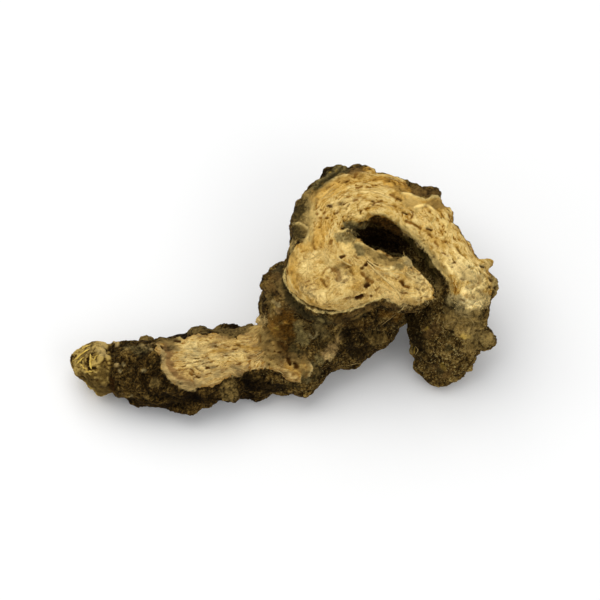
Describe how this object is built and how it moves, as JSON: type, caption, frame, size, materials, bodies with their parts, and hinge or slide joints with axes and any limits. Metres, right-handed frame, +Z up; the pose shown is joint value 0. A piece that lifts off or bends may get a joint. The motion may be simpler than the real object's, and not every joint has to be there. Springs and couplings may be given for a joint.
{
  "type": "atractylodes rhizome",
  "caption": "Dried, cut atractylodes rhizome: a knobby arm that widens into a lobe, an arch hooked round a hollow and a leg, with pale sliced faces and dark warty bark.",
  "frame": {"origin": "middle of the bounding box's footprint, on the surface that the rhizome lies on", "axes": "+X along the piece, from the bud at the arm's end towards the leg; +Y towards the back of the arch; +Z up, out of the sliced faces"},
  "size_m": [0.0872, 0.0478, 0.0258],
  "materials": {
    "rhizome": "dry, matt, fibrous"
  },
  "bodies": {
    "root": {"rhizome": "rhizome"}
  },
  "joints": []
}
